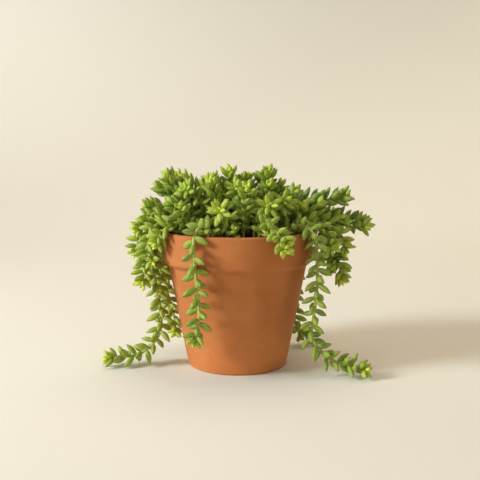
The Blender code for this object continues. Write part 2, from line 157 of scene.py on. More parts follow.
@dataclass(frozen=True)
class FiredClay:
    """Unglazed earthenware, pressed and turned in a mould and fired: matt, warm, dusty, with a fine grain.

    The clay's iron burns unevenly, which gives soft patches, and rain and tap water leave a pale lime bloom.
    The grain of real clay is finer than a render shows, so it is drawn a few times as coarse.
    """

    body: str = "#BE7540"
    patch_light: str = "#C47D48"
    patch_dark: str = "#B66D39"
    fleck_dark: str = "#8F5630"
    bloom: str = "#D0A074"
    patch_mm: float = 38.0
    grain_mm: float = 0.9
    bloom_mm: float = 26.0
    turning_mm: float = 1.6
    pit_mm: float = 7.0
    # painted light: the clay is painted lighter below the first height, and fully so below the second
    painted_light_ends_above: float = 0.078
    painted_light_full_below: float = 0.012
    roughness: float = 0.86

    def make(self) -> bpy.types.Material:
        """Builds the material.

        Returns:
            The material.
        """
        material, tree, shader = blank_material("fired_clay")
        place = add_node(tree, "TexCoord", output="Object")
        patches = add_node(tree, "TexNoise", {"Scale": per(self.patch_mm), "Detail": 4.0, "Roughness": 0.55},
                           {"Vector": place})
        stops = [(0.32, self.patch_dark), (0.5, self.body), (0.7, self.patch_light)]
        tone = add_node(tree, "ValToRGB", {"stops": stops}, {"Fac": patches})
        grain = add_node(tree, "TexNoise", {"Scale": per(self.grain_mm), "Detail": 3.0, "Roughness": 0.7},
                         {"Vector": place})
        fleck = add_node(tree, "MapRange", {"From Min": 0.60, "From Max": 0.74, "To Max": 0.35},
                         {"Value": grain})
        flecked = add_node(tree, "Mix", {"data_type": "RGBA", 7: linear(self.fleck_dark)},
                           {0: fleck, 6: tone})
        # A clay pot dries from its outside, so the lime comes out in soft clouds, wider than they are high
        squash = add_node(tree, "Mapping", {"Scale": (1.0, 1.0, 1.8)}, {"Vector": place})
        cloud = add_node(tree, "TexNoise", {"Scale": per(self.bloom_mm), "Detail": 6.0, "Roughness": 0.65},
                         {"Vector": squash})
        lime = add_node(tree, "MapRange", {"From Min": 0.52, "From Max": 0.78, "To Max": 0.16},
                        {"Value": cloud})
        bloomed = add_node(tree, "Mix", {"data_type": "RGBA", 7: linear(self.bloom)}, {0: lime, 6: flecked})
        # Painted light: the clay is painted paler towards the foot, where more light falls on the pot below
        # the shade of the foliage
        height = add_node(tree, "SeparateXYZ", {}, {"Vector": place}, "Z")
        uneven = add_node(tree, "Math", {"operation": "MULTIPLY_ADD", 1: 0.03}, {0: patches, 2: height})
        dry = add_node(tree, "MapRange", {"From Min": self.painted_light_ends_above, "From Max": self.painted_light_full_below,
                                          "interpolation_type": "SMOOTHSTEP"}, {"Value": uneven})
        paler = add_node(tree, "MapRange", {"To Min": 0.97, "To Max": 1.20}, {"Value": dry})
        weathered_and_painted_light = add_node(tree, "HueSaturation", {}, {"Value": paler, "Color": bloomed})

        # Faint rings from the turning tool, the grain, and a few small pits where grit was dragged out
        rings = add_node(tree, "Mapping", {"Scale": (0.02, 0.02, 1.0)}, {"Vector": place})
        turning = add_node(tree, "TexNoise", {"Scale": per(self.turning_mm), "Detail": 2.0},
                           {"Vector": rings})
        pits = add_node(tree, "TexVoronoi", {"Scale": per(self.pit_mm), "Randomness": 1.0}, {"Vector": place})
        pit = add_node(tree, "MapRange", {"From Min": 0.05, "From Max": 0.12}, {"Value": pits})
        relief = add_node(tree, "Bump", {"Strength": 0.22, "Distance": 0.25 * MM}, {"Height": turning})
        relief = add_node(tree, "Bump", {"Strength": 0.35, "Distance": 0.12 * MM},
                          {"Height": grain, "Normal": relief})
        relief = add_node(tree, "Bump", {"Strength": 0.5, "Distance": 0.25 * MM},
                          {"Height": pit, "Normal": relief})
        set_up(tree, shader, {"Roughness": self.roughness, "IOR": 1.45},
               {"Base Color": weathered_and_painted_light, "Normal": relief})
        return material


@dataclass(frozen=True)
class PottingMix:
    """A loose mix of peat, composted bark and grit: nearly black when damp, with paler dry crumbs."""

    damp: str = "#17110C"
    peat: str = "#241A12"
    dry: str = "#3E2E20"
    crumb_mm: float = 2.4
    roughness: float = 0.95

    def make(self) -> bpy.types.Material:
        """Builds the material.

        Returns:
            The material.
        """
        material, tree, shader = blank_material("potting_mix")
        place = add_node(tree, "TexCoord", output="Object")
        crumbs = add_node(tree, "TexNoise", {"Scale": per(self.crumb_mm), "Detail": 5.0, "Roughness": 0.7},
                          {"Vector": place})
        stops = [(0.35, self.damp), (0.55, self.peat), (0.75, self.dry)]
        tone = add_node(tree, "ValToRGB", {"stops": stops}, {"Fac": crumbs})
        relief = add_node(tree, "Bump", {"Strength": 0.8, "Distance": 0.6 * MM}, {"Height": crumbs})
        set_up(tree, shader, {"Roughness": self.roughness}, {"Base Color": tone, "Normal": relief})
        return material


@dataclass(frozen=True)
class LeafSkin:
    """The skin of a stonecrop leaf: fleshy, with a thin wax that dulls its shine and pales its edges.

    Young leaves at the tip of a shoot are yellow-green. They turn green as they grow, and an old one has a
    dull, darker point. Each vertex holds its leaf's age and tone, and how far along the leaf it lies. The
    tone holds each leaf's own shade of green, with painted light and painted shade added to it.
    """

    young: str = "#C0CE50"
    half_grown: str = "#A6B82C"
    grown: str = "#83981F"
    foot: str = "#B6C44C"
    point: str = "#6F7032"
    wax: str = "#BFCBB4"
    wax_mm: float = 2.2
    roughness: float = 0.50

    def make(self) -> bpy.types.Material:
        """Builds the material.

        Returns:
            The material.
        """
        material, tree, shader = blank_material("stonecrop_leaf")
        place = add_node(tree, "TexCoord", output="Object")
        age, along, tone = (add_node(tree, "Attribute", {"attribute_name": name}, output="Fac")
                            for name in ("age", "along", "tone"))
        stops = [(0.0, self.young), (0.45, self.half_grown), (0.95, self.grown)]
        ripe = add_node(tree, "ValToRGB", {"stops": stops}, {"Fac": age})
        # The tone sets each leaf's value and hue: its own shade of green, and the painted light and painted
        # shade in it
        value = add_node(tree, "MapRange", {"To Min": 0.78, "To Max": 1.50}, {"Value": tone})
        hue = add_node(tree, "MapRange", {"To Min": 0.535, "To Max": 0.493}, {"Value": tone})
        varied = add_node(tree, "HueSaturation", {}, {"Hue": hue, "Value": value, "Color": ripe})
        near_foot = add_node(tree, "MapRange", {"From Min": 0.28, "From Max": 0.0, "To Max": 0.6},
                             {"Value": along})
        footed = add_node(tree, "Mix", {"data_type": "RGBA", 7: linear(self.foot)}, {0: near_foot, 6: varied})
        near_point = add_node(tree, "MapRange", {"From Min": 0.80, "From Max": 1.0, "To Max": 0.75},
                              {"Value": along})
        old_point = add_node(tree, "Math", {"operation": "MULTIPLY"}, {0: near_point, 1: age})
        pointed = add_node(tree, "Mix", {"data_type": "RGBA", 7: linear(self.point)},
                           {0: old_point, 6: footed})
        cloud = add_node(tree, "TexNoise", {"Scale": per(self.wax_mm), "Detail": 3.0}, {"Vector": place})
        wax = add_node(tree, "MapRange", {"From Min": 0.42, "From Max": 0.75, "To Max": 0.32},
                       {"Value": cloud})
        waxed = add_node(tree, "Mix", {"data_type": "RGBA", 7: linear(self.wax)}, {0: wax, 6: pointed})
        dull = add_node(tree, "MapRange", {"To Min": self.roughness - 0.06, "To Max": self.roughness + 0.12},
                        {"Value": cloud})
        set_up(tree, shader,
               {"IOR": 1.42, "Specular IOR Level": 0.62, "Subsurface Weight": 0.12,
                "Subsurface Radius": (0.9, 1.0, 0.3), "Subsurface Scale": 1.5 * MM},
               {"Base Color": waxed, "Roughness": dull})
        return material


@dataclass(frozen=True)
class StemSkin:
    """The skin of a stonecrop stem: pale green where it is young, and woody brown near its root."""

    young: str = "#B6C362"
    old: str = "#B3B86C"
    woody: str = "#96854F"
    mottle_mm: float = 1.8
    roughness: float = 0.6

    def make(self) -> bpy.types.Material:
        """Builds the material.

        Returns:
            The material.
        """
        material, tree, shader = blank_material("stonecrop_stem")
        place = add_node(tree, "TexCoord", output="Object")
        age = add_node(tree, "Attribute", {"attribute_name": "age"}, output="Fac")
        stops = [(0.0, self.young), (0.6, self.old), (1.0, self.woody)]
        skin = add_node(tree, "ValToRGB", {"stops": stops}, {"Fac": age})
        mottle = add_node(tree, "TexNoise", {"Scale": per(self.mottle_mm), "Detail": 4.0}, {"Vector": place})
        shade = add_node(tree, "MapRange", {"To Min": 0.75, "To Max": 1.25}, {"Value": mottle})
        varied = add_node(tree, "HueSaturation", {}, {"Value": shade, "Color": skin})
        set_up(tree, shader, {"Roughness": self.roughness}, {"Base Color": varied})
        return material


@dataclass(frozen=True)
class StudioPaper:
    """Matt cream background paper, rolled down a wall and out over the table."""

    colour: str = "#E9EDEA"
    roughness: float = 0.9

    def make(self) -> bpy.types.Material:
        """Builds the material.

        Returns:
            The material.
        """
        material, tree, shader = blank_material("background_paper")
        set_up(tree, shader, {"Base Color": linear(self.colour), "Roughness": self.roughness,
                              "Specular IOR Level": 0.2}, {})
        return material


# ------------------------------------------------------------------------------------------ shared helpers


def smooth_data(mesh: bmesh.types.BMesh, name: str) -> bpy.types.Mesh:
    """Turns a finished bmesh to mesh data with smooth shading.

    Args:
        mesh: the bmesh, which is freed.
        name: the data's name.

    Returns:
        The mesh data.
    """
    for face in mesh.faces:
        face.smooth = True
    data = bpy.data.meshes.new(name)
    mesh.to_mesh(data)
    mesh.free()
    return data


def placed(mesh: bmesh.types.BMesh, name: str, materials: list[bpy.types.Material]) -> bpy.types.Object:
    """Puts a finished bmesh in the scene.

    Args:
        mesh: the bmesh, which is freed.
        name: the object's name.
        materials: its materials, in the order of its faces' material numbers.

    Returns:
        The object.
    """
    data = smooth_data(mesh, name)
    for material in materials:
        data.materials.append(material)
    made = bpy.data.objects.new(name, data)
    bpy.context.scene.collection.objects.link(made)
    return made


def finished(mesh: bmesh.types.BMesh, name: str, materials: list[bpy.types.Material],
             nodes: tuple[str, ...]) -> None:
    """Makes a piece of a finished bmesh, and ties it to the CAD model.

    Args:
        mesh: the bmesh, which is freed.
        name: the piece's name.
        materials: its materials, in the order of its faces' material numbers.
        nodes: the CAD nodes that it stands for.
    """
    piece = placed(mesh, name, materials)
    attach(piece, "root")
    if nodes:
        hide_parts(*nodes)
    log.info("%s: %d faces", name, len(piece.data.polygons))


def spun(mesh: bmesh.types.BMesh, geometry: list, steps: int) -> None:
    """Turns a profile fully round Z, and closes its seam and poles.

    Args:
        mesh: the bmesh that holds the profile.
        geometry: the profile's vertices and edges.
        steps: how many steps the full turn has.
    """
    bmesh.ops.spin(mesh, geom=geometry, cent=(0, 0, 0), axis=(0, 0, 1), angle=math.tau, steps=steps,
                   use_merge=True, use_duplicate=False)
    bmesh.ops.remove_doubles(mesh, verts=mesh.verts, dist=1e-6)
    bmesh.ops.recalc_face_normals(mesh, faces=mesh.faces)


def turned(corners: list[tuple[float, float, float]], steps: int, longest: float) -> bmesh.types.BMesh:
    """Turns a closed section about Z, with rounded corners and its long sides divided.

    Args:
        corners: the section's corners, as (distance from the axis, height, how far from it its rounding
            starts).
        steps: how many steps the full turn has.
        longest: the longest side that is left undivided.

    Returns:
        The turned bmesh.
    """
    mesh = bmesh.new()
    marks = [mesh.verts.new((radius, 0.0, height)) for radius, height, _ in corners]
    mesh.faces.new(marks)
    for vertex, (_, _, rounding) in zip(marks, corners):
        if rounding:
            bmesh.ops.bevel(mesh, geom=[vertex], offset=rounding, offset_type="OFFSET", segments=6,
                            profile=0.5, affect="VERTICES", material=-1)
    for edge in [edge for edge in mesh.edges if edge.calc_length() > longest]:
        bmesh.ops.subdivide_edges(mesh, edges=[edge], cuts=int(edge.calc_length() / longest))
    bmesh.ops.delete(mesh, geom=list(mesh.faces), context="FACES_ONLY")
    on_axis = [edge for edge in mesh.edges if all(abs(v.co.x) < 1e-7 for v in edge.verts)]
    bmesh.ops.delete(mesh, geom=on_axis, context="EDGES")
    spun(mesh, list(mesh.verts) + list(mesh.edges), steps)
    return mesh


def search_tree(mesh: bmesh.types.BMesh) -> BVHTree:
    """Makes a search tree of a bmesh's surface that is the same on every run.

    The operators may leave the faces in another order on another run, and then a place that is as near to two
    faces would find another one. So the faces go into the tree in the order of their places.

    Args:
        mesh: the bmesh.

    Returns:
        The tree.
    """
    places = [tuple(round(c, 8) for c in vertex.co) for vertex in mesh.verts]
    mesh.verts.index_update()
    order = sorted(range(len(places)), key=lambda number: places[number])
    rank = {number: place for place, number in enumerate(order)}
    faces = []
    for face in mesh.faces:
        corners = [rank[vertex.index] for vertex in face.verts]
        first = corners.index(min(corners))
        faces.append(corners[first:] + corners[:first])
    return BVHTree.FromPolygons([places[number] for number in order], sorted(faces))


# ---------------------------------------------------------------------------------------------------- pot


@dataclass
class ClayPot:
    """The clay pot: a tapered body, a tall collar with a rounded lip, a flat foot and a drain hole."""

    collar_height: float = 0.030
    collar_taper: float = 0.0019
    collar_step: float = 0.0052
    collar_undercut: float = 0.0042
    base_radius: float = 0.0497
    wall: float = 0.0065
    floor_thickness: float = 0.009
    drain_radius: float = 0.010
    steps: int = 180
    longest_side: float = 2.2 * MM
    wobble: float = 0.22 * MM
    wobble_mm: float = 45.0
    dent: float = 0.10 * MM
    dent_mm: float = 9.0
    finish: FiredClay = field(default_factory=FiredClay)

    def __post_init__(self) -> None:
        """Reads the overall sizes off the CAD pot."""
        low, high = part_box("pot")
        self.height = high.z
        self.rim_radius = high.x

    def inner_radius(self, height: float) -> float:
        """The radius of the inside wall.

        Args:
            height: the height above the floor.

        Returns:
            The radius there.
        """
        bottom, top = self.base_radius - self.wall, self.rim_radius - self.wall
        share = (height - self.floor_thickness) / (self.height - self.floor_thickness)
        return bottom + (top - bottom) * share

    def build(self) -> BVHTree:
        """Builds the pot.

        Returns:
            A search tree of its surface.
        """
        collar_edge = self.rim_radius - self.collar_taper
        shoulder = collar_edge - self.collar_step
        collar_foot = self.height - self.collar_height
        corners = [
            (self.rim_radius, self.height, 2.6 * MM),
            (collar_edge, collar_foot, 1.1 * MM),
            (shoulder, collar_foot - self.collar_undercut, 0.9 * MM),
            (self.base_radius, 0.0, 2.0 * MM),
            (self.drain_radius, 0.0, 1.0 * MM),
            (self.drain_radius, self.floor_thickness, 1.2 * MM),
            (self.inner_radius(self.floor_thickness), self.floor_thickness, 3.0 * MM),
            (self.rim_radius - self.wall, self.height, 2.2 * MM),
        ]
        mesh = turned(corners, self.steps, self.longest_side)
        self.weather(mesh)
        tree = search_tree(mesh)
        finished(mesh, "clay_pot", [self.finish.make()], ("pot",))
        return tree

    def weather(self, mesh: bmesh.types.BMesh) -> None:
        """Moves the surface by the small unevenness of a pot that was pressed and fired by hand.

        Args:
            mesh: the turned pot.
        """
        for vertex in mesh.verts:
            outward = Vector((vertex.co.x, vertex.co.y, 0.0)).normalized()
            slow = noise.noise(vertex.co / (self.wobble_mm * MM))
            quick = noise.noise(vertex.co / (self.dent_mm * MM) + Vector((7.0, 3.0, 1.0)))
            vertex.co += outward * (self.wobble * slow + self.dent * quick)


# --------------------------------------------------------------------------------------------------- soil


@dataclass
class PottingSoil:
    """The soil that fills the pot: a lumpy mound with loose crumbs lying on it."""

    pot: ClayPot
    below_rim: float = 0.012
    mound: float = 0.004
    clearance: float = 0.0003
    steps: int = 150
    longest_side: float = 1.3 * MM
    lump: float = 1.1 * MM
    lump_mm: float = 6.0
    grit: float = 0.5 * MM
    grit_mm: float = 2.0
    smooth_edge: float = 4 * MM
    crumbs: int = 420
    crumb_size: tuple[float, float] = (0.8 * MM, 2.2 * MM)
    crumb_sides: tuple[float, float] = (0.5, 1.0)  # its width each way, as a share of its size
    crumb_roughness: tuple[float, float] = (0.75, 1.2)  # how far its corners stand, as a share
    crumb_margin: float = 3 * MM
    crumb_rise: float = 0.25  # how far its middle lies above the surface, as a share of its size
    finish: PottingMix = field(default_factory=PottingMix)

    def __post_init__(self) -> None:
        """Works out the surface's radius, and makes the finish."""
        self.radius = self.pot.inner_radius(self.pot.height - self.below_rim) - self.clearance
        self.material = self.finish.make()

    def height_at(self, radius: float) -> float:
        """Height of the smooth mound at a distance from the axis."""
        share = radius / self.radius
        return self.pot.height - self.below_rim + self.mound * (1 - share * share)

    def lumps(self, x: float, y: float) -> float:
        """How far the lumpy surface lies above or below the smooth mound.

        Args:
            x: the place's x.
            y: the place's y.

        Returns:
            The distance, above 0 where the surface is the higher.
        """
        flat = Vector((x, y, 0.0))
        slow = noise.noise(flat / (self.lump_mm * MM))
        quick = noise.noise(flat / (self.grit_mm * MM) + Vector((3.0, 9.0, 5.0)))
        inside = min(1.0, (self.radius - flat.length) / self.smooth_edge)
        return (self.lump * slow + self.grit * quick) * max(0.0, inside)

    def build(self) -> BVHTree:
        """Builds the soil and its crumbs.

        Returns:
            A search tree of the soil's surface.
        """
        underside = self.pot.floor_thickness + self.clearance
        edge = self.height_at(self.radius)
        foot = self.pot.inner_radius(underside) - self.clearance
        corners = [(0.0, edge, 0.0), (self.radius, edge, 0.0), (foot, underside, 0.0), (0.0, underside, 0.0)]
        mesh = turned(corners, self.steps, self.longest_side)
        for vertex in mesh.verts:
            if vertex.co.z > edge - 0.1 * MM:
                radius = math.hypot(vertex.co.x, vertex.co.y)
                vertex.co.z = self.height_at(radius) + self.lumps(vertex.co.x, vertex.co.y)
        tree = search_tree(mesh)
        finished(mesh, "potting_soil", [self.material], ("soil",))
        self.scatter()
        return tree

    def scatter(self) -> None:
        """Lays loose crumbs of bark and grit on the surface."""
        draw = random.Random("crumbs")
        mesh = bmesh.new()
        for _ in range(self.crumbs):
            radius = (self.radius - self.crumb_margin) * math.sqrt(draw.random())
            angle = draw.uniform(0, math.tau)
            x, y = radius * math.cos(angle), radius * math.sin(angle)
            size = draw.uniform(*self.crumb_size)
            made = bmesh.ops.create_icosphere(mesh, subdivisions=1, radius=1.0)["verts"]
            bmesh.ops.scale(mesh, verts=made, vec=[size * draw.uniform(*self.crumb_sides) for _ in range(3)])
            turn = Matrix.Rotation(draw.uniform(0, math.tau), 3, Vector((draw.random(), draw.random(), 1.0)))
            bmesh.ops.rotate(mesh, verts=made, matrix=turn)
            for vertex in made:
                vertex.co *= draw.uniform(*self.crumb_roughness)
            rest = self.height_at(radius) + self.lumps(x, y) + self.crumb_rise * size
            bmesh.ops.translate(mesh, verts=made, vec=(x, y, rest))
        finished(mesh, "soil_crumbs", [self.material], ())


# --------------------------------------------------------------------------------------------- the shoots


@dataclass(frozen=True)
class Bearing:
    """How a kind of shoot carries its leaves. Lengths are in mm and angles in degrees."""

    spacing: float  # of grown leaves along the stem
    spread: float  # between a grown leaf and the stem
    lift: float  # how strongly leaves turn up to the light
    length: float  # of a grown leaf
    width: float
    ripening: float = 4.2  # how many leaves it takes from the tip until they are grown
    opening: float = 2.0  # how many leaves it takes from the tip until they are spread
    tip_spacing: float = 0.55  # of the youngest leaves
    tip_spread: float = 14.0
    packing: float = 3.0  # how many leaves lie close together at the tip: more for a higher number
    nod: float = 0.25  # how far the rosette at the tip turns outwards, away from the pot
    turn_to_light: float = 0.35  # how far the rosette at the tip turns to the window
    least_age: float = 0.0  # of its leaves, from 0 to 1
    oldest: float = 1.0  # the age of its grown leaves: paler and yellower for a lower number
    painted_light: float = 0.0  # how much paler and yellower its leaves are painted, for the light that falls on them: painted light
    shading: float = 0.45  # painted shade: how much darker its leaves are painted towards its root, where the others shade them
    reach: float = 1.0  # the share of its line that the stem has grown


class Habit(Enum):
    """The kinds of shoot."""

    BARE = Bearing(spacing=3.9, spread=70, lift=0.10, length=14.0, width=7.2, turn_to_light=0.1,
                   painted_light=0.12, shading=0.0)
    TRAILING = Bearing(spacing=3.0, spread=68, lift=0.12, length=14.2, width=7.0, turn_to_light=0.1,
                       painted_light=0.12, shading=0.1)
    DROOPING = Bearing(spacing=2.9, spread=62, lift=0.35, length=14.4, width=7.2, painted_light=0.16)
    UPRIGHT = Bearing(spacing=2.9, spread=52, lift=0.80, length=15.4, width=7.2, opening=2.8)
    STAR = Bearing(spacing=2.8, spread=80, lift=0.0, length=15.0, width=6.2, ripening=2.8, opening=2.8,
                   tip_spacing=0.25, tip_spread=20, packing=14.0, nod=0.4, turn_to_light=1.3, oldest=0.85)
    BRIGHT = Bearing(spacing=2.8, spread=70, lift=0.1, length=13.4, width=6.8, ripening=4.5, opening=2.8,
                     tip_spacing=0.35, tip_spread=18, packing=6.0, nod=0.2, turn_to_light=1.1, oldest=0.8,
                     painted_light=0.18, shading=0.2)
    YOUNG = Bearing(spacing=4.0, spread=66, lift=0.2, length=8.0, width=5.8, ripening=2.5, least_age=0.6,
                    reach=0.62)
    SPRIG = Bearing(spacing=2.7, spread=60, lift=0.35, length=14.0, width=7.0, ripening=3.4)


@dataclass(frozen=True)
class Shoot:
    """One shoot: where it is rooted in the soil, and the points that its stem passes through.

    root is (azimuth, reach). A point of from_rim is (azimuth, reach, height above the rim), and a point of
    from_floor is (azimuth, reach, height above the floor). A reach is in mm outside the rim, or, where it is
    negative, in hundredths of the rim's radius inside it. Heights are in mm.
    """

    name: str
    root: tuple[float, float]
    from_rim: tuple[tuple[float, float, float], ...]
    from_floor: tuple[tuple[float, float, float], ...] = ()
    habit: Habit = Habit.UPRIGHT


TRAILING = (
    Shoot("trailing_shoot_left", (188, -38),
          ((188, -13, 11), (189, 8, 6), (190, 12, -12), (190, 9, -36)),
          ((190, 4, 74), (190, 1, 46), (190, 6, 27), (190, 24, 12), (189, 40, 10), (189, 55, 9)),
          Habit.TRAILING),
    Shoot("trailing_shoot_left_inner", (163, -31),
          ((165, -8, 8), (167, 7, -2), (167, 7, -30)),
          ((166, 1, 75), (164, -9, 43), (164, -12, 25)), Habit.TRAILING),
    Shoot("trailing_shoot_front", (246, -34),
          ((243, -10, 8), (242, 5, 2), (242, 7, -18)),
          ((244, 6, 87), (245, 6, 59), (242, 8, 39)), Habit.BARE),
    Shoot("trailing_shoot_right", (325, -34),
          ((326, -9, 8), (327, 9, 1), (328, 12, -20)),
          ((327, 13, 83), (326, 10, 52), (326, 9, 38), (329, 18, 22), (332, 31, 13), (334, 44, 11),
           (333, 59, 9)), Habit.TRAILING),
    Shoot("trailing_shoot_back_right", (44, -34),
          ((44, -9, 8), (43, 8, 0), (43, 9, -30)),
          ((43, 8, 60), (43, 9, 32), (42, 16, 14), (39, 30, 10)), Habit.TRAILING),
    Shoot("trailing_shoot_back", (84, -34),
          ((84, -9, 9), (84, 6, 2), (83, 5, -28)),
          ((82, 2, 65), (82, 2, 36), (85, 3, 18), (93, 4, 10), (104, 5, 9), (116, 7, 9)), Habit.TRAILING),
    Shoot("trailing_shoot_back_left", (128, -34),
          ((127, -9, 8), (126, 7, 0), (126, 9, -34)),
          ((128, 6, 63), (130, 5, 37)), Habit.TRAILING),
    Shoot("drooping_shoot_left_upper", (180, -34),
          ((180, -21, 19), (180, 6, 14), (181, 25, 0)), habit=Habit.DROOPING),
    Shoot("drooping_shoot_left_lower", (174, -50),
          ((174, -31, 14), (175, 4, 9), (178, 22, -9), (180, 27, -24)), habit=Habit.DROOPING),
    Shoot("drooping_shoot_left_hanging", (197, -29),
          ((197, -10, 8), (197, 9, 1), (196, 17, -22), (197, 20, -50)), habit=Habit.DROOPING),
    Shoot("drooping_shoot_left_front", (213, -31),
          ((212, -16, 10), (210, 4, 4), (208, 11, -10)), habit=Habit.DROOPING),
    Shoot("drooping_shoot_front_right", (291, -31),
          ((292, -13, 10), (295, 5, 6), (298, 16, -10)), habit=Habit.BRIGHT),
    Shoot("drooping_shoot_right_front", (340, -31),
          ((340, -13, 10), (341, 8, 4), (341, 21, -15)), habit=Habit.BRIGHT),
    Shoot("drooping_shoot_right_middle", (352, -39),
          ((352, -18, 14), (353, 8, 10), (355, 24, -4), (356, 32, -20)), habit=Habit.DROOPING),
    Shoot("drooping_shoot_right_lower", (5, -26),
          ((5, -8, 8), (5, 12, 3), (5, 24, -20), (4, 31, -52)), habit=Habit.DROOPING),
    Shoot("drooping_shoot_back_right", (64, -31),
          ((64, -13, 10), (64, 7, 3), (64, 11, -24), (63, 10, -52)), habit=Habit.DROOPING),
    Shoot("drooping_shoot_back", (104, -31),
          ((104, -13, 12), (106, 5, 6), (109, 12, -16)), habit=Habit.DROOPING),
    Shoot("drooping_shoot_back_left", (147, -31),
          ((147, -13, 10), (147, 8, 3), (148, 15, -26), (148, 16, -58)), habit=Habit.DROOPING),
)

CROWN = (
    Shoot("crown_shoot_right_long", (12, -39), ((11, -18, 18), (11, 10, 14), (11, 34, 9), (11, 58, 4))),
    Shoot("crown_shoot_right_upper", (358, -73), ((358, -58, 16), (0, -18, 27), (2, 12, 30), (3, 34, 33))),
    Shoot("crown_shoot_left_edge", (176, -66), ((176, -52, 12), (176, -18, 20), (177, 15, 24))),
    Shoot("crown_shoot_left_high", (163, -52), ((165, -39, 16), (169, -16, 32), (170, 4, 44))),
    Shoot("crown_shoot_left_top", (196, -60), ((195, -50, 16), (192, -26, 38), (190, -8, 54))),
    Shoot("crown_shoot_left_inner", (186, -81), ((186, -66, 18), (186, -45, 38), (185, -31, 51))),
    Shoot("crown_shoot_left_star", (208, -68),
          ((207, -58, 14), (205, -42, 32), (204, -29, 42)), habit=Habit.STAR),
    Shoot("crown_shoot_back_top", (150, -79), ((150, -71, 18), (150, -63, 36), (152, -55, 50))),
    Shoot("crown_shoot_left_upper", (170, -52), ((170, -45, 16), (168, -29, 36), (166, -21, 53))),
    Shoot("crown_shoot_middle_left", (186, -76), ((184, -73, 18), (182, -71, 36), (180, -68, 52))),
    Shoot("crown_shoot_middle_right", (52, -87), ((50, -84, 18), (47, -83, 36), (46, -81, 53))),
    Shoot("crown_shoot_middle_top", (200, -93), ((190, -89, 20), (180, -89, 42), (185, -90, 58))),
    Shoot("crown_shoot_right_top", (20, -71), ((18, -66, 16), (8, -60, 40), (2, -60, 59))),
    Shoot("crown_shoot_middle_star", (262, -80),
          ((264, -76, 16), (268, -71, 32), (268, -66, 43)), habit=Habit.STAR),
    Shoot("crown_shoot_front_star", (255, -52),
          ((255, -50, 8), (255, -37, 18), (255, -18, 24)), habit=Habit.STAR),
    Shoot("crown_shoot_right_star", (300, -58),
          ((300, -55, 12), (300, -42, 23), (300, -22, 28)), habit=Habit.STAR),
    Shoot("crown_shoot_right_small_star", (320, -52),
          ((320, -50, 12), (318, -39, 24), (318, -21, 31)), habit=Habit.STAR),
)


def shoot_mesh() -> bmesh.types.BMesh:
    """An empty bmesh whose vertices can hold along, age and tone."""
    mesh = bmesh.new()
    for name in ("along", "age", "tone"):
        mesh.verts.layers.float.new(name)
    return mesh


@dataclass
class LeafForm:
    """The form of a leaf: a narrow foot, a full belly, a short point, a flat upper side and a keel below."""

    belly: float = 0.50  # where along the leaf it is widest
    foot: float = 0.36  # the foot's width, as a share of the widest
    foot_curve: tuple[float, float] = (2.2, 0.8)
    point_curve: float = 2.0
    flat_side: float = 0.82
    keel: float = 0.94
    thickness: float = 0.82  # as a share of its width
    plumpness: float = 0.75  # the power of its length that its width grows with
    sides: int = 8
    bands: int = 8

    def girth(self, along: float) -> float:
        """Half the width of the leaf.

        Args:
            along: the place along the leaf, from 0 to 1.

        Returns:
            Half the width there, as a share of the widest.
        """
        if along < self.belly:
            share = 1 - along / self.belly
            return self.foot + (1 - self.foot) * (1 - share**self.foot_curve[0]) ** self.foot_curve[1]
        return 1 - ((along - self.belly) / (1 - self.belly)) ** self.point_curve

    def template(self) -> bpy.types.Mesh:
        """Makes a leaf of unit length and half width along Z, with its upper side towards +Y.

        Returns:
            The mesh, with the attributes along, age and tone.
        """
        mesh = shoot_mesh()
        layer = mesh.verts.layers.float["along"]
        bmesh.ops.create_uvsphere(mesh, u_segments=self.sides, v_segments=self.bands, radius=1.0)
        for vertex in mesh.verts:
            along = (vertex.co.z + 1) / 2
            ring = math.hypot(vertex.co.x, vertex.co.y)
            girth = self.girth(along) / ring if ring > 1e-6 else 0.0
            side = self.flat_side if vertex.co.y > 0 else 1.0
            if vertex.co.y < 0 and abs(vertex.co.x) > 1e-6:
                girth *= self.keel
            vertex[layer] = along
            vertex.co = Vector((vertex.co.x * girth, vertex.co.y * girth * side, along))
        return smooth_data(mesh, "leaf_template")


@dataclass(frozen=True)
class Bud:
    """A leaf before it has its place. Angles are in degrees."""

    from_tip: float  # its distance from the stem's tip
    turn: float  # round the stem
    spread: float  # from the stem
    size: float  # as a share of a grown leaf's
    bend: float
    ripe: float  # how grown it is, from 0 to 1


@dataclass
class Pose:
    """One leaf's place: its foot, its own directions, and its sizes."""

    foot: Vector
    way: Vector
    up: Vector
    length: float
    half_width: float
    half_thickness: float
    bend: float
    fill: tuple[tuple[float, float], ...] = ((0.36, 0.95), (0.62, 0.95), (0.88, 0.55))

    def at(self, unit: Vector) -> Vector:
        """Moves a point of the unit leaf to this leaf.

        Args:
            unit: the point.

        Returns:
            Where it goes to.
        """
        across = self.way.cross(self.up)
        rise = unit.y * self.half_thickness + self.bend * self.length * unit.z * unit.z
        sideways = across * (unit.x * self.half_width)
        return self.foot + self.way * (unit.z * self.length) + sideways + self.up * rise

    def balls(self) -> list[tuple[Vector, float]]:
        """Fills the leaf with balls: fill has where along it each lies, and its share of the girth.

        Returns:
            The balls, as (centre, radius).
        """
        middle = (self.half_width + self.half_thickness) / 2
        return [(self.at(Vector((0, 0, along))), middle * share) for along, share in self.fill]


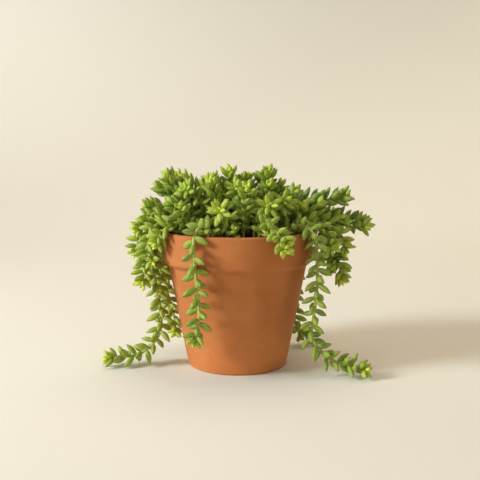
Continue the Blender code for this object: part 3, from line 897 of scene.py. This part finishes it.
@dataclass
class Crowd:
    """The leaves that are already in place, as balls, kept by the cell that each lies in."""

    cell: float = 6 * MM
    others_share: float = 0.92  # the share of the room that balls of two shoots keep
    cells: dict[tuple[int, ...], list[tuple[Vector, float, str]]] = field(default_factory=dict)

    def key(self, place: Vector) -> tuple[int, ...]:
        """The cell of a place."""
        return tuple(math.floor(c / self.cell) for c in place)

    def add(self, balls: list[tuple[Vector, float]], owner: str) -> None:
        """Adds a leaf.

        Args:
            balls: its balls.
            owner: the name of its stem.
        """
        for place, radius in balls:
            self.cells.setdefault(self.key(place), []).append((place, radius, owner))

    def squeeze(self, place: Vector, radius: float, owner: str, own_share: float) -> float:
        """How far a ball reaches into others.

        Args:
            place: its centre.
            radius: its radius.
            owner: the name of its stem.
            own_share: the share of the room that balls of its own stem keep.

        Returns:
            The sum of the overlaps.
        """
        found = 0.0
        for cell in product(*((c - 1, c, c + 1) for c in self.key(place))):
            for other, size, name in self.cells.get(cell, ()):
                room = (radius + size) * (own_share if name == owner else self.others_share)
                found += max(0.0, room - (other - place).length)
        return found


def route_line(points: list[Vector], steps: int = 24) -> list[Vector]:
    """A smooth Catmull-Rom line through points.

    Args:
        points: the points.
        steps: the steps between two of them.

    Returns:
        The dense line.
    """
    ends = [points[0] * 2 - points[1]] + points + [points[-1] * 2 - points[-2]]
    line = []
    for a, b, c, d in zip(ends, ends[1:], ends[2:], ends[3:]):
        for i in range(steps):
            t = i / steps
            line.append(0.5 * (2 * b + (c - a) * t + (2 * a - 5 * b + 4 * c - d) * t**2
                               + (3 * b - a - 3 * c + d) * t**3))
    line.append(points[-1])
    return line


@dataclass
class Stem:
    """A stem, with places on it found by their distance from its tip."""

    line: list[Vector]  # given from its foot to its tip, and kept from its tip to its foot
    bearing: Bearing
    name: str

    def __post_init__(self) -> None:
        """Measures the line from its tip, and carries a side direction along it without twisting."""
        self.line = self.line[::-1]
        self.marks = [0.0]
        self.sides = []
        side = Vector((0.577, 0.577, 0.577))  # no stem starts along it
        for a, b in zip(self.line, self.line[1:]):
            self.marks.append(self.marks[-1] + (b - a).length)
            along = (a - b).normalized()
            side = (side - along * side.dot(along)).normalized()
            self.sides.append((along, side.copy()))
        self.sides.append(self.sides[-1])
        self.length = self.marks[-1]

    def place(self, from_tip: float) -> tuple[Vector, Vector, Vector]:
        """A place on the stem.

        Args:
            from_tip: its distance from the tip.

        Returns:
            The point, the direction towards the tip, and a direction square to it.
        """
        low, high = 0, len(self.marks) - 1
        while high - low > 1:
            middle = (low + high) // 2
            low, high = (middle, high) if self.marks[middle] <= from_tip else (low, middle)
        gap = self.marks[high] - self.marks[low]
        share = (from_tip - self.marks[low]) / gap if gap > 0 else 0.0
        along, side = self.sides[low]
        return self.line[low].lerp(self.line[high], min(1.0, share)), along, side


@dataclass
class Routes:
    """Where the plant's stems run: rooted in the soil, and clear of the pot and of each other."""

    pot: ClayPot
    soil: PottingSoil
    cad_pot_tree: BVHTree
    stem_radius: float = 0.0015
    clearance: float = 0.0003
    fill_count: int = 18
    fill_first_azimuth: float = 90.0
    fill_first_radius: float = 0.010
    fill_inset: float = 0.011
    fill_height: float = 0.050
    fill_edge_drop: float = 0.026
    fill_lean: float = 0.55
    fill_bend: tuple[float, float] = (0.33, 0.40)
    fill_young: tuple[int, ...] = (10, 13, 18)
    nudges: tuple[int, ...] = (3, 6, 9, 12, 16, 20, 25, 30, 40, 50, 60)  # turns to try, in degrees

    def radius_at(self, reach: float) -> float:
        """Distance from the pot's axis of a reach, as Shoot gives it."""
        rim = self.pot.rim_radius
        return rim + reach * MM if reach > 0 else rim * (1 + reach / 100)

    def reach_of(self, radius: float) -> float:
        """The reach, as Shoot gives it, of a distance from the pot's axis."""
        rim = self.pot.rim_radius
        return (radius - rim) / MM if radius > rim else (radius / rim - 1) * 100

    def polar(self, azimuth: float, reach: float, height: float) -> Vector:
        """A point from its azimuth, reach and height."""
        angle, radius = math.radians(azimuth), self.radius_at(reach)
        return Vector((radius * math.cos(angle), radius * math.sin(angle), height))

    def fill_shoots(self) -> list[Shoot]:
        """Shoots that fill the crown, rooted along a golden-angle spiral and leaning out from its middle.

        Returns:
            The shoots.
        """
        found = []
        last = self.soil.radius - self.fill_inset
        for i in range(self.fill_count):
            share = math.sqrt((i + 0.5) / self.fill_count)
            radius = self.fill_first_radius + (last - self.fill_first_radius) * share
            azimuth = self.fill_first_azimuth + i * GOLDEN_ANGLE
            height = (self.fill_height - self.fill_edge_drop * share * share) / MM
            bend = self.reach_of(radius * (1 + self.fill_lean * self.fill_bend[0]))
            end = self.reach_of(radius * (1 + self.fill_lean))
            route = ((azimuth, bend, height * self.fill_bend[1]), (azimuth, end, height))
            habit = Habit.YOUNG if i + 1 in self.fill_young else Habit.UPRIGHT
            root = (azimuth, self.reach_of(radius))
            found.append(Shoot(f"crown_shoot_{i + 1:02d}", root, route, habit=habit))
        return found

    def control_points(self, shoot: Shoot, nudge: float) -> list[Vector]:
        """The points that a stem passes through, turned about the pot's axis.

        Args:
            shoot: the shoot.
            nudge: the turn, in degrees.

        Returns:
            The points, from the soil to the tip.
        """
        radius = self.radius_at(shoot.root[1])
        foot = self.polar(shoot.root[0] + nudge, shoot.root[1], self.soil.height_at(radius) + self.clearance)
        points = [foot, foot + Vector((0, 0, 2 * self.stem_radius))]
        for azimuth, reach, up in shoot.from_rim:
            points.append(self.polar(azimuth + nudge, reach, self.pot.height + up * MM))
        for azimuth, reach, up in shoot.from_floor:
            points.append(self.polar(azimuth + nudge, reach, up * MM))
        return points

    def free_line(self, shoot: Shoot, placed_lines: list[list[Vector]]) -> list[Vector]:
        """A stem's line, turned by as little as keeps it clear of the pot and of the stems already placed.

        Args:
            shoot: the shoot.
            placed_lines: the lines of the stems already placed.

        Returns:
            The line.
        """
        room = 2 * self.stem_radius + 2 * self.clearance
        taken = KDTree(sum(len(line) for line in placed_lines))
        for number, point in enumerate(point for line in placed_lines for point in line):
            taken.insert(point, number)
        taken.balance()
        for nudge in [0] + [sign * turn for turn in self.nudges for sign in (1, -1)]:
            line = route_line(self.control_points(shoot, nudge))
            by_pot = min(self.cad_pot_tree.find_nearest(point)[3] for point in line)
            by_stem = min(taken.find(point)[2] for point in line) if placed_lines else room
            if by_pot >= self.stem_radius + self.clearance and by_stem >= room:
                return line
        raise ValueError(f"there is no room for {shoot.name}")

    def all(self) -> list[tuple[Shoot, list[Vector]]]:
        """Every shoot with its line.

        Returns:
            The pairs, in the order in which the stems took their room.
        """
        shoots = list(TRAILING) + list(CROWN) + self.fill_shoots()
        lines: list[list[Vector]] = []
        for shoot in shoots:
            lines.append(self.free_line(shoot, lines))
        return list(zip(shoots, lines))


@dataclass
class Plant:
    """The stonecrop: every shoot's stem and leaves."""

    routes: Routes
    pot_tree: BVHTree
    soil_tree: BVHTree
    tip_radius: float = 0.0008
    taper: float = 0.030  # from the tip to where the stem has its full radius
    woody_from: float = 0.270
    stem_sides: int = 7
    ring_gap: float = 2.5 * MM
    bare_foot: float = 0.010
    # How leaves vary: the play of an angle is in degrees, either way
    turn_play: float = 9.0
    spread_play: float = 7.0
    bud_size: float = 0.34
    growth: float = 0.66  # what a grown leaf adds to a bud's size
    size_play: tuple[float, float] = (0.88, 1.12)
    bends: tuple[float, float] = (0.02, 0.13)
    ageing: float = 1.08
    age_play: float = 0.10
    darkest: float = 0.27
    tone_of_shoot: float = 0.45
    tone_of_leaf: float = 0.35
    # painted shade is at its darkest this far from a shoot's tip
    shade_depth: float = 55 * MM
    # How leaves stand
    rosette: float = 14 * MM  # how far from the tip a shoot's turn to the light dies away
    sunk: float = 0.5  # how far a leaf's foot lies from the stem's axis, as a share of its radius
    under_side: float = -0.3  # a leaf that leaves the stem in a direction lower than this is under it
    under_lift: float = 0.35  # the share of its lift that such a leaf has
    resting: float = 0.9  # how high a leaf's middle stays above the floor, as a share of its half thickness
    skyward: float = 0.3  # how strongly its upper side turns up, and away from the pot
    outward: float = 0.9
    tries: tuple[tuple[float, float, float], ...] = (  # (spread, turn, share of the size)
        (0, 0, 1), (-12, 0, 1), (10, 0, 1), (0, 13, 1), (0, -13, 1), (-22, 0, 1), (-10, 24, 1), (-10, -24, 1),
        (16, 0, 0.9), (-28, 0, 0.8), (0, 0, 0.7))
    good_fit: float = 0.2 * MM
    poor_fit: float = 1.6 * MM
    always_kept: float = 0.35  # a leaf less ripe than this is kept however it fits
    packed_until: float = 0.75  # leaves less ripe than this may lie on their neighbours
    own_share: float = 0.55
    hard_surface: float = 3.0  # how much worse it is to reach into the pot or the soil than into a leaf
    # Short side shoots
    sprig_tries: int = 26
    sprig_most: int = 3
    sprig_reach: tuple[float, float] = (0.016, 0.8)  # from this far from the tip to this share of the stem
    sprig_length: tuple[float, float] = (0.013, 0.024)
    sprig_bare_foot: float = 3 * MM
    sprig_inset: float = 1 * MM
    sprig_clearance: float = 5 * MM
    sprig_girth: float = 6.5 * MM
    sprig_squeeze: float = 3.0 * MM
    star_clearance: float = 20 * MM
    form: LeafForm = field(default_factory=LeafForm)
    leaf_finish: LeafSkin = field(default_factory=LeafSkin)
    stem_finish: StemSkin = field(default_factory=StemSkin)

    def __post_init__(self) -> None:
        """Makes the unit leaf, and starts with no leaves in place."""
        self.template = self.form.template()
        self.crowd = Crowd()
        self.star_tips: list[Vector] = []

    def build(self) -> None:
        """Builds every shoot."""
        materials = [self.leaf_finish.make(), self.stem_finish.make()]
        routes = self.routes.all()
        self.star_tips = [line[-1] for shoot, line in routes if shoot.habit is Habit.STAR]
        grown = []
        # The open rosettes take their room first
        for shoot, line in sorted(routes, key=lambda pair: pair[0].habit is not Habit.STAR):
            bearing = shoot.habit.value
            stem = Stem(line[: round(len(line) * bearing.reach)], bearing, shoot.name)
            mesh = shoot_mesh()
            self.draw_stem(mesh, stem)
            leaves = self.draw_leaves(mesh, stem, self.bare_foot)
            grown.append((shoot, stem, mesh, leaves))
        for shoot, stem, mesh, leaves in grown:
            sprigs = 0
            if shoot.habit in (Habit.UPRIGHT, Habit.DROOPING):
                sprigs = self.draw_sprigs(mesh, stem)
            log.info("%s: %d leaves and %d side shoots", shoot.name, leaves, sprigs)
            finished(mesh, f"leafy_{shoot.name}", materials, (shoot.name,))
        bpy.data.meshes.remove(self.template)

    def radius_of(self, from_tip: float) -> float:
        """The stem's radius at a distance from its tip."""
        return self.tip_radius + (self.routes.stem_radius - self.tip_radius) * min(1.0, from_tip / self.taper)

    def draw_stem(self, mesh: bmesh.types.BMesh, stem: Stem) -> None:
        """Draws a stem out of a circle, ring by ring, from its root to its tip.

        Args:
            mesh: the shoot's bmesh.
            stem: the stem.
        """
        age = mesh.verts.layers.float["age"]
        made = bmesh.ops.create_circle(mesh, cap_ends=True, radius=1.0, segments=self.stem_sides)
        end = made["verts"][0].link_faces[0]
        section = [vertex.co.copy() for vertex in end.verts]
        skin = list(end.verts)
        rings = max(2, round(stem.length / self.ring_gap))
        for i in range(rings + 1):
            from_tip = stem.length * (1 - i / rings)
            point, along, side = stem.place(from_tip)
            if i:
                end = bmesh.ops.extrude_discrete_faces(mesh, faces=[end])["faces"][0]
                skin.extend(end.verts)
            radius = self.radius_of(from_tip)
            other = along.cross(side)
            for vertex, corner in zip(end.verts, section):
                vertex.co = point + (side * corner.x + other * corner.y) * radius
                vertex[age] = min(1.0, from_tip / self.woody_from)
        rim = list(dict.fromkeys(edge for vertex in skin for edge in vertex.link_edges if edge.is_boundary))
        if rim:
            bmesh.ops.holes_fill(mesh, edges=rim)
        faces = list(dict.fromkeys(face for vertex in skin for face in vertex.link_faces))
        bmesh.ops.recalc_face_normals(mesh, faces=faces)
        for face in faces:
            face.material_index = 1

    def draw_leaves(self, mesh: bmesh.types.BMesh, stem: Stem, bare: float) -> int:
        """Sets the leaves round a stem by the golden angle, from its tip to its foot.

        Args:
            mesh: the shoot's bmesh.
            stem: the stem.
            bare: the length of its foot that bears no leaves.

        Returns:
            How many leaves the stem has.
        """
        draw = random.Random(stem.name)
        bearing = stem.bearing
        from_tip, turn, count, number = 0.0, draw.uniform(0, 360), 0, 0
        shoot_tone = draw.random()
        while from_tip < stem.length - bare:
            ripe = 1 - math.exp(-number / bearing.ripening)
            spread = bearing.tip_spread
            spread += (bearing.spread - bearing.tip_spread) * (1 - math.exp(-number / bearing.opening))
            turn += GOLDEN_ANGLE + draw.uniform(-self.turn_play, self.turn_play)
            size = (self.bud_size + self.growth * ripe) * draw.uniform(*self.size_play)
            spread += draw.uniform(-self.spread_play, self.spread_play)
            bud = Bud(from_tip, turn, spread, size, draw.uniform(*self.bends), ripe)
            age = self.ageing * ripe + draw.uniform(-self.age_play, self.age_play)
            age = min(1.0, max(bearing.least_age, age)) * bearing.oldest
            tone = self.darkest + self.tone_of_shoot * shoot_tone + self.tone_of_leaf * draw.random()
            # Painted light: the leaves of a lit shoot are painted paler and yellower
            tone += bearing.painted_light
            # Painted shade: leaves are painted darker the further they lie from the tip, in the shade of the
            # others
            tone -= bearing.shading * min(1.0, from_tip / self.shade_depth)
            pose = self.fit_leaf(stem, bud)
            if pose:
                self.crowd.add(pose.balls(), stem.name)
                self.draw_leaf(mesh, pose, age, min(1.0, max(0.0, tone)))
                count += 1
            grown_gap = bearing.spacing - bearing.tip_spacing
            from_tip += MM * (bearing.tip_spacing + grown_gap * ripe**bearing.packing)
            number += 1
        return count

    def fit_leaf(self, stem: Stem, bud: Bud) -> Pose | None:
        """Finds how a leaf can stand without cutting into the pot, the soil, the floor or other leaves.

        Args:
            stem: its stem.
            bud: the leaf as it would stand alone.

        Returns:
            The leaf's pose, or None where there is no room for it.
        """
        best, least = None, math.inf
        for spread, turn, share in self.tries:
            tried = replace(bud, turn=bud.turn + turn, spread=bud.spread + spread, size=bud.size * share)
            pose = self.pose(stem, tried)
            cost = self.cost(pose, stem.name, bud.ripe)
            if cost < least:
                best, least = pose, cost
            if least < self.good_fit:
                break
        return best if least < self.poor_fit or bud.ripe < self.always_kept else None

    def pose(self, stem: Stem, bud: Bud) -> Pose:
        """Works out how a leaf stands.

        Args:
            stem: its stem.
            bud: the leaf.

        Returns:
            The leaf's pose.
        """
        bearing = stem.bearing
        point, along, side = stem.place(bud.from_tip)
        out = Vector((point.x, point.y, 0.0)).normalized()
        to_light = out * bearing.nod + WINDOW * bearing.turn_to_light
        along = (along + to_light * math.exp(-bud.from_tip / self.rosette)).normalized()
        side = (side - along * side.dot(along)).normalized()
        outward = Matrix.Rotation(math.radians(bud.turn), 3, along) @ side
        angle = math.radians(bud.spread)
        way = along * math.cos(angle) + outward * math.sin(angle)
        share = 1.0 if outward.z > self.under_side else self.under_lift
        way = (way + UP * (bearing.lift * (1 - abs(along.z)) * share)).normalized()
        foot = point + outward * self.radius_of(bud.from_tip) * self.sunk
        length = bearing.length * MM * bud.size
        half_width = bearing.width / 2 * MM * bud.size**self.form.plumpness
        half_thickness = half_width * self.form.thickness
        lowest = half_thickness * self.resting
        if foot.z + way.z * length < lowest:
            way.z = max(way.z, (lowest - foot.z) / length)
            flat = Vector((way.x, way.y, 0.0)).normalized() * math.sqrt(max(0.05, 1 - way.z**2))
            way = Vector((flat.x, flat.y, way.z)).normalized()
        # A leaf turns its upper side towards the shoot's tip, and, on a hanging stem, away from the pot too
        away = out * (1.0 - max(0.0, along.z)) + UP * self.skyward
        facing = along + away * self.outward
        up = (facing - way * facing.dot(way)).normalized()
        return Pose(foot, way, up, length, half_width, half_thickness, bud.bend)

    def cost(self, pose: Pose, owner: str, ripe: float) -> float:
        """How far a leaf reaches into what is round it.

        Args:
            pose: the leaf's pose.
            owner: the name of its stem.
            ripe: how grown it is, from 0 to 1.

        Returns:
            The sum of its overlaps, in metres.
        """
        found = 0.0
        for number, (place, radius) in enumerate(pose.balls()):
            own_share = 0.0 if number == 0 or ripe < self.packed_until else self.own_share
            found += self.crowd.squeeze(place, radius, owner, own_share)
            for tree in (self.pot_tree, self.soil_tree):
                near, normal, _, gap = tree.find_nearest(place)
                inside = (place - near).dot(normal) < 0
                if inside or gap < radius:
                    found += self.hard_surface * (radius + gap if inside else radius - gap)
        return found

    def draw_leaf(self, mesh: bmesh.types.BMesh, pose: Pose, age: float, tone: float) -> None:
        """Adds one leaf to a shoot.

        Args:
            mesh: the shoot's bmesh.
            pose: the leaf's pose.
            age: how grown it is, from 0 to 1.
            tone: its place in the range of tones, from 0 to 1, with painted light and painted shade in it.
        """
        before = len(mesh.verts)
        mesh.from_mesh(self.template)
        mesh.verts.ensure_lookup_table()
        age_layer, tone_layer = (mesh.verts.layers.float[name] for name in ("age", "tone"))
        for vertex in mesh.verts[before:]:
            vertex.co = pose.at(vertex.co)
            vertex.co.z = max(vertex.co.z, self.routes.clearance)
            vertex[age_layer] = age
            vertex[tone_layer] = tone

    def sprig_line(self, stem: Stem, from_tip: float, turn: float, length: float) -> list[Vector]:
        """The line of a side shoot, which leaves its stem sideways and turns up.

        Args:
            stem: the stem that bears it.
            from_tip: its foot's distance from the stem's tip.
            turn: its turn round the stem, in degrees.
            length: its length.

        Returns:
            The line, from its foot to its tip.
        """
        point, along, side = stem.place(from_tip)
        outward = Matrix.Rotation(math.radians(turn), 3, along) @ side
        foot = point + outward * self.radius_of(from_tip) * 0.4
        start = (outward + along * 0.7 + UP * 0.2).normalized()
        middle = foot + start * length * 0.4
        tip = middle + (start + along * 0.3 + UP * 0.35).normalized() * length * 0.6
        return route_line([foot, middle, tip], 8)

    def has_room(self, line: list[Vector], stem: Stem) -> bool:
        """Whether a side shoot would stand free of the pot, the soil and the other leaves, inside the plant.

        Args:
            line: its line.
            stem: the stem that bears it.

        Returns:
            Whether there is room.
        """
        tip = line[-1]
        widest = max(math.hypot(point.x, point.y) for point in stem.line) - self.sprig_inset
        highest = max(point.z for point in stem.line) - self.sprig_inset
        if math.hypot(tip.x, tip.y) > widest or tip.z > highest:
            return False
        for point, tree in product(line[len(line) // 3 :], (self.pot_tree, self.soil_tree)):
            if tree.find_nearest(point)[3] < self.sprig_clearance:
                return False
        if any((tip - star).length < self.star_clearance for star in self.star_tips):
            return False
        return self.crowd.squeeze(tip, self.sprig_girth, "", 1.0) < self.sprig_squeeze

    def draw_sprigs(self, mesh: bmesh.types.BMesh, stem: Stem) -> int:
        """Adds short side shoots where a stem has free room beside it.

        Args:
            mesh: the shoot's bmesh.
            stem: the stem.

        Returns:
            How many side shoots it has.
        """
        draw = random.Random(f"{stem.name} sprigs")
        count = 0
        for _ in range(self.sprig_tries):
            from_tip = draw.uniform(self.sprig_reach[0], self.sprig_reach[1] * stem.length)
            line = self.sprig_line(stem, from_tip, draw.uniform(0, 360), draw.uniform(*self.sprig_length))
            if count < self.sprig_most and self.has_room(line, stem):
                count += 1
                sprig = Stem(line, Habit.SPRIG.value, f"{stem.name} {count}")
                self.draw_stem(mesh, sprig)
                self.draw_leaves(mesh, sprig, self.sprig_bare_foot)
        return count


# ------------------------------------------------------------------------------------------------- studio


@dataclass
class Lamp:
    """A soft square lamp that looks at a point."""

    name: str
    place: tuple[float, float, float]
    target: tuple[float, float, float]
    power: float
    size: float = 0.8
    colour: str = "#FFEDD8"
    spread: float = 180.0  # degrees

    def build(self) -> None:
        """Builds the lamp."""
        data = bpy.data.lights.new(self.name, "AREA")
        data.shape = "SQUARE"
        data.size = self.size
        data.spread = math.radians(self.spread)
        data.energy = self.power
        data.color = linear(self.colour)[:3]
        lamp = bpy.data.objects.new(self.name, data)
        lamp.location = self.place
        way = Vector(self.target) - Vector(self.place)
        lamp.rotation_euler = way.to_track_quat("-Z", "Y").to_euler()
        lamp.visible_camera = False
        bpy.context.scene.collection.objects.link(lamp)


@dataclass
class Studio:
    """The paper sweep, the lamps, the room's own light and the camera."""

    floor_radius: float = 0.95
    sweep_radius: float = 1.5
    sweep_steps: int = 16
    wall_height: float = 2.6
    turn_steps: int = 96
    camera_distance: float = 0.690
    camera_height: float = 0.200
    camera_side: float = 0.0025
    camera_pitch: float = -6.2
    lens: float = 51.75
    room_colour: str = "#FFEDD8"
    room_strength: float = 0.04
    paper: StudioPaper = field(default_factory=StudioPaper)
    lamps: tuple[Lamp, ...] = (
        Lamp("key_lamp", (-1.88, -0.75, 1.03), (0.0, 0.0, 0.08), 6.4, 0.70, "#FFFEFA", 66.0),
        Lamp("top_lamp", (0.2, 0.55, 1.9), (0.0, 0.0, 0.0), 17.0, 1.6, "#FFDDB8"),
        Lamp("wall_lamp_back_left", (-0.6, 0.6, 2.1), (-1.3, 2.25, 0.4), 12.2, 0.8, "#FFF8EE", 125.0),
        Lamp("wall_lamp_back_right", (0.6, 0.6, 2.1), (1.7, 2.15, 0.35), 6.2, spread=125.0),
        Lamp("wall_lamp_front_left", (-0.6, -0.6, 2.1), (-1.9, -2.1, 0.4), 7.0),
        Lamp("wall_lamp_front_right", (0.6, -0.6, 2.1), (1.9, -2.1, 0.4), 3.2),
    )

    def build(self) -> None:
        """Builds the studio."""
        self.build_paper()
        for lamp in self.lamps:
            lamp.build()
        self.build_room_light()
        self.build_camera()

    def build_paper(self) -> None:
        """Builds the paper: a floor that curves up into a wall all the way round."""
        mesh = bmesh.new()
        profile = [mesh.verts.new((0.0, 0.0, 0.0)), mesh.verts.new((self.floor_radius, 0.0, 0.0))]
        for i in range(1, self.sweep_steps + 1):
            angle = math.pi / 2 * i / self.sweep_steps
            profile.append(mesh.verts.new((self.floor_radius + self.sweep_radius * math.sin(angle), 0.0,
                                           self.sweep_radius * (1 - math.cos(angle)))))
        profile.append(mesh.verts.new((self.floor_radius + self.sweep_radius, 0.0, self.wall_height)))
        edges = [mesh.edges.new(pair) for pair in zip(profile, profile[1:])]
        spun(mesh, profile + edges, self.turn_steps)
        bmesh.ops.reverse_faces(mesh, faces=mesh.faces)
        placed(mesh, "paper_sweep", [self.paper.make()])

    def build_room_light(self) -> None:
        """Builds the even light of the room."""
        world = bpy.data.worlds.new("room")
        world.use_nodes = True
        back = world.node_tree.nodes["Background"]
        back.inputs["Color"].default_value = linear(self.room_colour)
        back.inputs["Strength"].default_value = self.room_strength
        bpy.context.scene.world = world

    def build_camera(self) -> None:
        """Builds the camera."""
        data = bpy.data.cameras.new("camera")
        data.lens = self.lens
        data.clip_start = 0.01
        camera = bpy.data.objects.new("camera", data)
        camera.location = (self.camera_side, -self.camera_distance, self.camera_height)
        camera.rotation_euler = (math.radians(90 + self.camera_pitch), 0.0, 0.0)
        bpy.context.scene.collection.objects.link(camera)
        bpy.context.scene.camera = camera


def main() -> None:
    """Builds the studio, the pot, the soil and the plant."""
    logging.basicConfig(level=logging.INFO, format="%(name)s: %(message)s")
    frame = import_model()
    bpy.context.scene.view_settings.view_transform = "Standard"
    cad_pot_tree = BVHTree.FromObject(frame["nodes"]["pot"], bpy.context.evaluated_depsgraph_get())
    Studio().build()
    pot = ClayPot()
    pot_tree = pot.build()
    soil = PottingSoil(pot)
    soil_tree = soil.build()
    Plant(Routes(pot, soil, cad_pot_tree), pot_tree, soil_tree).build()


if __name__ == "__main__":
    main()
